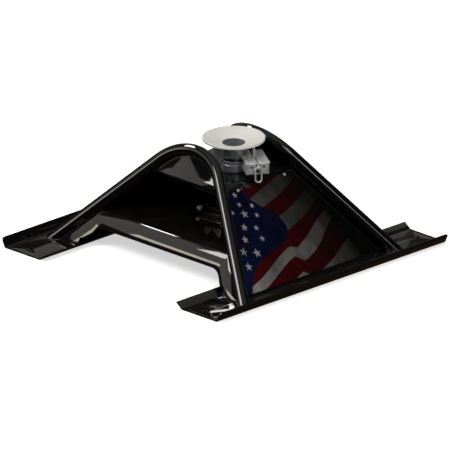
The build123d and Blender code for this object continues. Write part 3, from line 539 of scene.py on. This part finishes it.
def weld_tree(material):
    """Rippled fillet bead: flattened balls strung along every path, each a little different."""
    tree, given = node_tree("Rippled weld bead", {
        "Bead radius": ("NodeSocketFloat", 0.003),
        "Ripple pitch": ("NodeSocketFloat", 0.0024),
        "Seed": ("NodeSocketInt", 7),
    })
    curve = node(tree, "GeometryNodeMeshToCurve", {0: given["Geometry"]})
    even = node(tree, "GeometryNodeResampleCurve",
                {"Curve": curve.outputs[0], "Length": given["Ripple pitch"]}, mode="LENGTH")
    tangent = node(tree, "GeometryNodeInputTangent")
    turn = node(tree, "FunctionNodeAlignRotationToVector", {"Vector": tangent.outputs[0]}, axis="Z")
    ball = node(tree, "GeometryNodeMeshUVSphere", {"Segments": 8, "Rings": 5, "Radius": given["Bead radius"]})
    vary = node(tree, "FunctionNodeRandomValue", {"Min": (0.85, 0.85, 0.62), "Max": (1.08, 1.08, 0.8),
                                                  "Seed": given["Seed"]}, data_type="FLOAT_VECTOR")
    placed = node(tree, "GeometryNodeInstanceOnPoints", {
        "Points": even.outputs[0], "Instance": ball.outputs["Mesh"],
        "Rotation": turn.outputs[0], "Scale": vary.outputs["Value"],
    })
    smooth = node(tree, "GeometryNodeSetShadeSmooth", {"Geometry": placed.outputs[0]})
    close_tree(tree, smooth.outputs[0], material)
    return tree


def spring_tree(material):
    """Round-wire coil spring standing on the origin."""
    tree, given = node_tree("Coil spring", {
        "Turns": ("NodeSocketFloat", 10.0),
        "Coil radius": ("NodeSocketFloat", 0.005),
        "Wire radius": ("NodeSocketFloat", 0.001),
        "Length": ("NodeSocketFloat", 0.05),
    })
    spiral = node(tree, "GeometryNodeCurveSpiral", {
        "Resolution": 24, "Rotations": given["Turns"], "Start Radius": given["Coil radius"],
        "End Radius": given["Coil radius"], "Height": given["Length"],
    })
    wire = node(tree, "GeometryNodeCurvePrimitiveCircle", {"Resolution": 10, "Radius": given["Wire radius"]})
    coil = node(tree, "GeometryNodeCurveToMesh", {
        "Curve": spiral.outputs[0], "Profile Curve": wire.outputs[0], "Fill Caps": True,
    })
    smooth = node(tree, "GeometryNodeSetShadeSmooth", {"Geometry": coil.outputs[0]})
    close_tree(tree, smooth.outputs[0], material)
    return tree


def star_tree(material):
    """Five-pointed stars lying on the XY plane, one for each point, sized and turned by attributes."""
    tree, given = node_tree("Printed stars", {
        "Thickness": ("NodeSocketFloat", 0.0001),
    })
    star = node(tree, "GeometryNodeCurveStar", {"Points": 5, "Inner Radius": 0.40, "Outer Radius": 1.0})
    filled = node(tree, "GeometryNodeFillCurve", {0: star.outputs[0]}, mode="NGONS")
    size = node(tree, "GeometryNodeInputNamedAttribute", {"Name": "size"}, data_type="FLOAT")
    turn = node(tree, "GeometryNodeInputNamedAttribute", {"Name": "turn"}, data_type="FLOAT")
    rotation = node(tree, "ShaderNodeCombineXYZ", {"Z": turn.outputs[0]})
    squash = node(tree, "ShaderNodeMath", {0: size.outputs[0], 1: 0.9}, operation="MULTIPLY")
    scale = node(tree, "ShaderNodeCombineXYZ", {"X": squash.outputs[0], "Y": size.outputs[0], "Z": 1.0})
    points = node(tree, "GeometryNodeMeshToPoints", {"Mesh": given["Geometry"]})
    placed = node(tree, "GeometryNodeInstanceOnPoints", {
        "Points": points.outputs[0], "Instance": filled.outputs[0],
        "Rotation": rotation.outputs[0], "Scale": scale.outputs[0],
    })
    real = node(tree, "GeometryNodeRealizeInstances", {"Geometry": placed.outputs[0]})
    thick = node(tree, "GeometryNodeExtrudeMesh", {
        "Mesh": real.outputs[0], "Offset Scale": given["Thickness"], "Individual": False,
    })
    base = node(tree, "GeometryNodeFlipFaces", {"Mesh": real.outputs[0]})
    both = node(tree, "GeometryNodeJoinGeometry")
    tree.links.new(thick.outputs["Mesh"], both.inputs[0])
    tree.links.new(base.outputs[0], both.inputs[0])
    merged = node(tree, "GeometryNodeMergeByDistance", {"Geometry": both.outputs[0], "Distance": 0.00001})
    close_tree(tree, merged.outputs[0], material)
    return tree


def rivet_tree(material):
    """Domed rivet heads standing on the given points."""
    tree, given = node_tree("Domed rivets", {
        "Head radius": ("NodeSocketFloat", 0.005),
        "Head height": ("NodeSocketFloat", 0.002),
    })
    ball = node(tree, "GeometryNodeMeshUVSphere", {"Segments": 28, "Rings": 14, "Radius": 1.0})
    flat = node(tree, "ShaderNodeCombineXYZ", {
        "X": given["Head radius"], "Y": given["Head radius"], "Z": given["Head height"],
    })
    points = node(tree, "GeometryNodeMeshToPoints", {"Mesh": given["Geometry"]})
    placed = node(tree, "GeometryNodeInstanceOnPoints", {
        "Points": points.outputs[0], "Instance": ball.outputs["Mesh"], "Scale": flat.outputs[0],
    })
    smooth = node(tree, "GeometryNodeSetShadeSmooth", {"Geometry": placed.outputs[0]})
    close_tree(tree, smooth.outputs[0], material)
    return tree


# ---- what the frame says --------------------------------------------------------------------------
def joint(name):
    return next(item for item in frame["joints"] if item["name"] == name)


def coupler_middle():
    low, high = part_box("guide_funnel")
    return Vector(((low.x + high.x) / 2, (low.y + high.y) / 2, 0))


def film_corners():
    """Outer corners of the graphic film: lower left, lower right, upper right, upper left."""
    ways = ((-1, -0.5, -2), (1, -0.5, -2), (1, -0.5, 2), (-1, -0.5, 2))
    return [farthest("graphic_film", way) for way in ways]


# ---- operators ------------------------------------------------------------------------------------
MATERIALS = {}


class HITCH_OT_finishes(bpy.types.Operator):
    """Make every finish and put the right one on each carried-over piece"""

    bl_idname = "hitch.finishes"
    bl_label = "Finishes"

    def execute(self, context):
        colours = context.scene.hitch_finishes
        lower, _, upper, _ = film_corners()
        slope = math.hypot(upper.y - lower.y, upper.z - lower.z) / (upper.z - lower.z)
        MATERIALS.update({
            "black": gloss_powder_coat("gloss_black_powder_coat", colours.frame_black, colours.dust_and_sheen_colour),
            "white": satin_powder_coat("white_powder_coat", colours.funnel_white),
            "zinc": zinc_plate("clear_zinc_plate", colours.zinc, 0.46),
            "bright": zinc_plate("bright_zinc_plate", linear("#e4e4df"), 0.36, 0.2),
            "turned": turned_steel("plated_turned_steel", colours.turned_steel, coupler_middle(), 0.32),
            "hard": plain_metal("ground_hardened_steel", "#7c7d7b", 0.32, 6 * MM),
            "spring": plain_metal("oiled_spring_steel", "#5b5a57", 0.35, 4 * MM),
            "bronze": plain_metal("sintered_bronze", "#9a7440", 0.42, 3 * MM),
            "brass": plain_metal("plain_brass", "#b39a5c", 0.3, 3 * MM),
            "film": printed_film(
                "printed_vinyl_film", colours.flag_red, colours.flag_blue, colours.flag_pale, slope
            ),
            "ink": printed_ink("pale_screen_ink", colours.flag_pale),
        })
        paint(MATERIALS["black"], "left_hoop", "right_hoop", "centre_post", "ball_socket")
        paint(MATERIALS["turned"], "coupler_base", "coupler_neck")
        paint(MATERIALS["bronze"], "seat_liner")
        paint(MATERIALS["brass"], "grease_fitting")
        paint(MATERIALS["bright"], "pull_ring", "deck_edge_bolts")
        paint(MATERIALS["zinc"], "deck_edge_nuts", "clamp_screws", "clamp_screw_locknuts", "socket_bolts",
              "socket_nuts", "coupler_screws")
        paint(MATERIALS["hard"], "inner_latch_rod", "outer_latch_rod")
        return {"FINISHED"}


class HITCH_OT_sheet_metal(bpy.types.Operator):
    """Round the sheared edges of the rails, panels, deck, tray, ribs and latch parts"""

    bl_idname = "hitch.sheet_metal"
    bl_label = "Sheet metal"

    def execute(self, context):
        for name in ("rear_rail", "front_rail", "rear_panel", "front_panel", "deck_plate", "cross_tray",
                     "post_base_plate", "left_deck_rib", "right_deck_rib", "left_post_web", "right_post_web",
                     "left_arch_plate", "right_arch_plate"):
            soften(name, MATERIALS["black"])
        for name in ("inner_latch_bracket", "outer_latch_bracket", "inner_guide_bar", "outer_guide_bar",
                     "latch_housing_floor"):
            soften(name, MATERIALS["zinc"], width=0.5 * MM)
        soften("latch_plate", MATERIALS["hard"], "latch", width=0.6 * MM)
        soften("pull_bar", MATERIALS["bright"], "latch", width=0.6 * MM)
        return {"FINISHED"}


# Section of the guide funnel.
DISH_WIDTH = 71 * MM         # from the throat to the rim
DISH_DEPTH = 21 * MM
DISH_WALL = 3.5 * MM
RIM_BAND = 9.5 * MM
RIM_ROLL = 2.2 * MM
SEAT_STEP = 3 * MM           # the funnel's seat beyond the throat, and the cone's start above the foot
THROAT_LIP = 4 * MM
DISH_FLARE = 1.08            # above 1 the dish steepens towards the rim
DISH_STEPS = 14
ROLL_STEPS = 8
LATHE_SEGMENTS = 160


class HITCH_OT_funnel(bpy.types.Operator):
    """Turn the guide funnel with its rolled rim"""

    bl_idname = "hitch.funnel"
    bl_label = "Guide funnel"

    def execute(self, context):
        low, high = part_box("guide_funnel")
        radius = (high.x - low.x) / 2
        top = high.z
        throat = radius - DISH_WIDTH
        foot = low.z
        dish_low = top - DISH_DEPTH
        wall = DISH_WALL
        band = RIM_BAND
        roll = RIM_ROLL
        spigot = throat + SEAT_STEP
        profile = [(throat, foot + THROAT_LIP)]
        for i in range(DISH_STEPS + 1):
            share = i / DISH_STEPS
            curve = share ** DISH_FLARE
            height = dish_low + (top - dish_low) * curve - roll * 0.4 * share
            profile.append((throat + (radius - wall - throat) * share, height))
        middle = radius - wall / 2
        for i in range(ROLL_STEPS + 1):
            angle = math.pi * (1 - i / ROLL_STEPS)
            profile.append((middle + wall / 2 * math.cos(angle), top - wall / 2 + wall / 2 * math.sin(angle)))
        profile.append((radius, top - band + roll))
        profile.append((radius - roll * 0.3, top - band + roll * 0.3))
        profile.append((radius - wall, top - band))
        reach = spigot + wall * 2
        cone_foot = foot + SEAT_STEP
        for i in range(DISH_STEPS, -1, -1):
            share = i / DISH_STEPS
            height = cone_foot + (top - wall - roll - foot - SEAT_STEP) * share
            profile.append((reach + (radius - wall - reach) * share, height))
        profile.append((reach, foot))
        profile.append((spigot, foot))
        profile.append((spigot, foot + THROAT_LIP))
        shape = lathe(profile, coupler_middle(), LATHE_SEGMENTS)
        mesh = mesh_of(shape, "funnel_dish")
        mesh.set_sharp_from_angle(angle=math.radians(40))
        add_piece("funnel_dish", mesh, MATERIALS["white"], replaced=("guide_funnel",))
        return {"FINISHED"}


class HITCH_OT_springs(bpy.types.Operator):
    """Wind the two latch springs"""

    bl_idname = "hitch.springs"
    bl_label = "Latch springs"

    def execute(self, context):
        sizes = context.scene.hitch_sizes
        way = Vector(joint("latch_slide")["axis"]).normalized()
        tree = spring_tree(MATERIALS["spring"])
        wire = sizes.spring_wire / 2
        for side in ("inner", "outer"):
            coil_points = [v.co for v in frame["nodes"][side + "_latch_spring"].data.vertices]
            low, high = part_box(side + "_latch_rod")
            middle = (Vector(low) + Vector(high)) / 2
            reach = [point.dot(way) for point in coil_points]
            start = min(reach) + wire
            end = max(reach) - wire
            spokes = [point - middle for point in coil_points]
            outer = max((spoke - way * spoke.dot(way)).length for spoke in spokes)
            base = middle + way * (start - middle.dot(way))
            mesh = grown(side + "_coil", bpy.data.meshes.new(side + "_coil_seed"), tree, {
                "Turns": sizes.spring_turns, "Coil radius": outer - wire, "Wire radius": wire,
                "Length": end - start,
            })
            turn = way.to_track_quat("Z", "Y").to_matrix().to_4x4()
            mesh.transform(Matrix.Translation(base) @ turn)
            name = side + "_latch_spring"
            piece = add_piece(side + "_coil", mesh, MATERIALS["spring"], replaced=(name,))
            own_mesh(piece)
        return {"FINISHED"}


class HITCH_OT_rivets(bpy.types.Operator):
    """Set the domed rivets in the latch brackets"""

    bl_idname = "hitch.rivets"
    bl_label = "Bracket rivets"

    def execute(self, context):
        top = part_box("inner_latch_bracket")[1].z
        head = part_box("bracket_rivets")[1].z - top
        places = []
        radius = 0
        for points in islands("bracket_rivets"):
            xs = [p.x for p in points]
            ys = [p.y for p in points]
            places.append(((min(xs) + max(xs)) / 2, (min(ys) + max(ys)) / 2, top))
            radius = (max(xs) - min(xs)) / 2
        seed = path_mesh("rivet_places", [([place], False) for place in places])
        mesh = grown("rivet_domes", seed, rivet_tree(MATERIALS["bright"]),
                     {"Head radius": radius, "Head height": head})
        add_piece("rivet_domes", mesh, MATERIALS["bright"], replaced=("bracket_rivets",))
        return {"FINISHED"}


HOOP_RING_POINTS = 28
WELD_SEED = 7


class HITCH_OT_welds(bpy.types.Operator):
    """Lay the weld beads at the hoops' feet and along the panels and tray"""

    bl_idname = "hitch.welds"
    bl_label = "Weld beads"

    def execute(self, context):
        sizes = context.scene.hitch_sizes
        paths = []
        for hoop in ("left_hoop", "right_hoop"):
            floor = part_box(hoop)[0].z
            for side in (-1, 1):
                foot = [v.co for v in frame["nodes"][hoop].data.vertices
                        if v.co.z < floor + 0.5 * MM and v.co.y * side > 0]
                middle = sum(foot, Vector()) / len(foot)
                bins = {}
                for point in foot:
                    spoke = point - middle
                    turn = (math.atan2(spoke.y, spoke.x) + math.pi) / (2 * math.pi)
                    key = int(turn * HOOP_RING_POINTS) % HOOP_RING_POINTS
                    if key not in bins or spoke.length > (bins[key] - middle).length:
                        bins[key] = point
                ring = [bins[key] + Vector((0, 0, sizes.bead_radius * 0.2)) for key in sorted(bins)]
                paths.append((ring, True))
        for panel, face in (("rear_panel", -1), ("front_panel", 1)):
            feet = [farthest(panel, (side, face * 0.5, -2)) for side in (-1, 1)]
            tops = [farthest(panel, (side, face * 0.5, 2)) for side in (-1, 1)]
            paths += [([foot, top], False) for foot, top in zip(feet, tops)]
            paths.append((feet, False))
        for side in (-1, 1):
            for face in (-1, 1):
                low = farthest("cross_tray", (side * 0.5, face, -2))
                high = farthest("cross_tray", (side * 0.5, face, 4))
                paths.append(([low, high], False))
        mesh = grown("weld_beads", path_mesh("weld_paths", paths), weld_tree(MATERIALS["black"]), {
            "Bead radius": sizes.bead_radius, "Ripple pitch": sizes.bead_pitch, "Seed": WELD_SEED,
        })
        add_piece("weld_beads", mesh, MATERIALS["black"])
        return {"FINISHED"}


# Stars of the graphic: place across, place up the slope, radius (mm) and turn (degrees).
STARS = (
    (-144, 308, 19, 8), (-177, 261, 17, -6), (-204, 217, 17, 4), (-240, 176, 19, -10), (-187, 156, 20, 12),
    (-256, 118, 19, -4), (-143, 347, 12, 10), (-93, 328, 12, -8), (-190, 326, 12, 5), (-95, 289, 12, -12),
    (-139, 385, 14, 6), (-128, 245, 13, -5), (-130, 200, 14, 9),
)
CORNER_STEPS = 8
STAR_BEDDING = 0.02 * MM     # the ink's underside lies this far inside the film


class HITCH_OT_graphic(bpy.types.Operator):
    """Lay the printed film with its stars on the tailgate-side panel"""

    bl_idname = "hitch.graphic"
    bl_label = "Graphic film"

    def execute(self, context):
        sizes = context.scene.hitch_sizes
        corners = film_corners()
        lower_left, lower_right, upper_right, upper_left = corners
        up = (upper_left + upper_right - lower_left - lower_right).normalized()
        across = (lower_right - lower_left).normalized()
        out = across.cross(up).normalized()
        panel_face = farthest("rear_panel", (0, -1, -1)).dot(out)
        thickness = lower_left.dot(out) - panel_face
        outline = []
        radius = sizes.film_corner
        for corner, before, after, rounded in (
            (lower_left, upper_left, lower_right, True),
            (lower_right, lower_left, upper_right, True),
            (upper_right, lower_right, upper_left, False),
            (upper_left, upper_right, lower_left, False),
        ):
            if not rounded:
                outline.append(corner.copy())
                continue
            start = corner + (before - corner).normalized() * radius
            end = corner + (after - corner).normalized() * radius
            for i in range(CORNER_STEPS + 1):
                share = i / CORNER_STEPS
                outline.append(start * (1 - share) ** 2 + corner * 2 * share * (1 - share) + end * share ** 2)
        shape = bmesh.new()
        top = [shape.verts.new(point) for point in outline]
        bottom = [shape.verts.new(point - out * thickness) for point in outline]
        shape.faces.new(top)
        shape.faces.new(list(reversed(bottom)))
        for i in range(len(outline)):
            j = (i + 1) % len(outline)
            shape.faces.new((top[j], top[i], bottom[i], bottom[j]))
        bmesh.ops.recalc_face_normals(shape, faces=shape.faces)
        mesh = mesh_of(shape, "panel_film", smooth=False)
        add_piece("panel_film", mesh, MATERIALS["film"], replaced=("graphic_film",))

        seed = path_mesh("star_places", [([(u * MM, s * MM, 0)], False) for u, s, _, _ in STARS])
        size = seed.attributes.new("size", "FLOAT", "POINT")
        turn = seed.attributes.new("turn", "FLOAT", "POINT")
        for index, (_, _, star_radius, degrees) in enumerate(STARS):
            size.data[index].value = star_radius * MM
            turn.data[index].value = math.radians(degrees)
        stars = grown("film_stars", seed, star_tree(MATERIALS["ink"]), {"Thickness": sizes.star_thickness})
        bed_line = lower_left - up * (lower_left.z / up.z)
        bed_point = Vector((0, bed_line.y, 0))
        basis = Matrix((across, up, out)).transposed().to_4x4()
        stars.transform(Matrix.Translation(bed_point - out * STAR_BEDDING) @ basis)
        add_piece("film_stars", stars, MATERIALS["ink"])
        return {"FINISHED"}


def area_light(name, place, target, width, height, power, colour="#ffffff"):
    data = bpy.data.lights.new(name, "AREA")
    data.shape = "RECTANGLE"
    data.size = width
    data.size_y = height
    data.energy = power
    data.color = linear(colour)
    lamp = bpy.data.objects.new(name, data)
    bpy.context.scene.collection.objects.link(lamp)
    lamp.location = place
    lamp.rotation_euler = (Vector(target) - Vector(place)).to_track_quat("-Z", "Y").to_euler()
    return lamp


# Camera: metres and degrees.
VIEW_SPAN = 1.593
VIEW_HEIGHT = 0.076
VIEW_DISTANCE = 6
VIEW_AZIMUTH = -45
VIEW_ELEVATION = 20.5


class HITCH_OT_stage(bpy.types.Operator):
    """Set the pale floor, the soft studio light and the camera"""

    bl_idname = "hitch.stage"
    bl_label = "Stage"

    def execute(self, context):
        scene = context.scene
        scene.view_settings.view_transform = "Standard"
        floor_shape = bmesh.new()
        bmesh.ops.create_circle(floor_shape, cap_ends=True, segments=96, radius=14)
        floor = link_object("stage_floor", mesh_of(floor_shape, "stage_floor", smooth=False))
        floor.location.z = -0.2 * MM
        floor.data.materials.append(pale_floor("pale_studio_board"))
        floor.visible_glossy = False

        world = bpy.data.worlds.new("studio_dome")
        scene.world = world
        world.use_nodes = True
        tree = world.node_tree
        tree.nodes.clear()
        direction = node(tree, "ShaderNodeTexCoord").outputs["Generated"]
        height = node(tree, "ShaderNodeSeparateXYZ", {0: direction}).outputs["Z"]
        sky = ramp(tree, remap(tree, height, -1.0, 1.0, 0.0, 1.0), [
            (0.0, rgba(linear("#4a3826"))), (0.2, rgba(linear("#46341f"))), (0.29, rgba(linear("#161514"))),
            (0.5, rgba(linear("#1c1b19"))), (0.54, rgba(linear("#4a4844"))), (0.72, rgba(linear("#3c3b39"))),
            (0.86, rgba(linear("#2c2c2c"))), (0.94, rgba(linear("#a8a69c"))), (1.0, rgba(linear("#b8b6ae"))),
        ])
        background = node(tree, "ShaderNodeBackground", {"Color": sky, "Strength": 1.0})
        node(tree, "ShaderNodeOutputWorld", {"Surface": background.outputs[0]})

        middle = (0, 0, 0.15)
        area_light("key_softbox", (-4.2, 1.6, 4.6), middle, 2.2, 2.2, 190)
        area_light("camera_fill", (-1.8, -4.6, 4.4), middle, 2.6, 2.6, 110)
        area_light("top_softbox", (0.6, 0.2, 6.5), middle, 2.4, 2.4, 120).visible_glossy = False
        # Seen in glossy surfaces only: the grey that level sheet mirrors, and lines along tubes and folds.
        for lamp in (
            area_light("far_card", (2.5, 2.5, 1.75), (0, 0, 0.4), 5.5, 1.5, 9, "#f4efe6"),
            area_light("back_strip", (-0.3, 2.75, 3.1), (-0.3, 0, 0.15), 1.6, 0.6, 90),
            area_light("left_card", (-2.8, 2.7, 2.15), (-0.2, 0, 0.35), 2.4, 2.0, 17, "#f4efe6"),
            area_light("left_strip", (-3.4, 1.2, 1.3), (0, 0, 0.2), 2.6, 0.3, 20, "#fff4e0"),
        ):
            lamp.visible_diffuse = False

        camera_data = bpy.data.cameras.new("view_camera")
        camera = bpy.data.objects.new("view_camera", camera_data)
        scene.collection.objects.link(camera)
        camera_data.type = "ORTHO"
        camera_data.ortho_scale = VIEW_SPAN
        camera_data.clip_end = 60
        azimuth = math.radians(VIEW_AZIMUTH)
        elevation = math.radians(VIEW_ELEVATION)
        back = Vector((math.sin(azimuth) * math.cos(elevation), -math.cos(azimuth) * math.cos(elevation),
                       math.sin(elevation)))
        camera.location = Vector((0, 0, VIEW_HEIGHT)) + back * VIEW_DISTANCE
        camera.rotation_euler = (-back).to_track_quat("-Z", "Y").to_euler()
        scene.camera = camera
        return {"FINISHED"}


class HITCH_PT_panel(bpy.types.Panel):
    """Sidebar panel that lists the hitch's sizes, finishes and steps"""

    bl_idname = "HITCH_PT_panel"
    bl_label = "Fifth Wheel Hitch"
    bl_space_type = "VIEW_3D"
    bl_region_type = "UI"
    bl_category = "Hitch"

    def draw(self, context):
        for group in (context.scene.hitch_sizes, context.scene.hitch_finishes):
            for name in group.__annotations__:
                self.layout.prop(group, name)
        for operator in OPERATORS:
            self.layout.operator(operator.bl_idname)


OPERATORS = (
    HITCH_OT_finishes, HITCH_OT_sheet_metal, HITCH_OT_funnel, HITCH_OT_springs, HITCH_OT_rivets,
    HITCH_OT_welds, HITCH_OT_graphic, HITCH_OT_stage,
)
CLASSES = (HitchFinishes, HitchSizes, *OPERATORS, HITCH_PT_panel)


def register():
    for item in CLASSES:
        bpy.utils.register_class(item)
    bpy.types.Scene.hitch_finishes = bpy.props.PointerProperty(type=HitchFinishes)
    bpy.types.Scene.hitch_sizes = bpy.props.PointerProperty(type=HitchSizes)


def unregister():
    del bpy.types.Scene.hitch_sizes
    del bpy.types.Scene.hitch_finishes
    for item in reversed(CLASSES):
        bpy.utils.unregister_class(item)


def main():
    register()
    bpy.ops.hitch.finishes()
    bpy.ops.hitch.sheet_metal()
    bpy.ops.hitch.funnel()
    bpy.ops.hitch.springs()
    bpy.ops.hitch.rivets()
    bpy.ops.hitch.welds()
    bpy.ops.hitch.graphic()
    bpy.ops.hitch.stage()


if __name__ == "__main__":
    main()
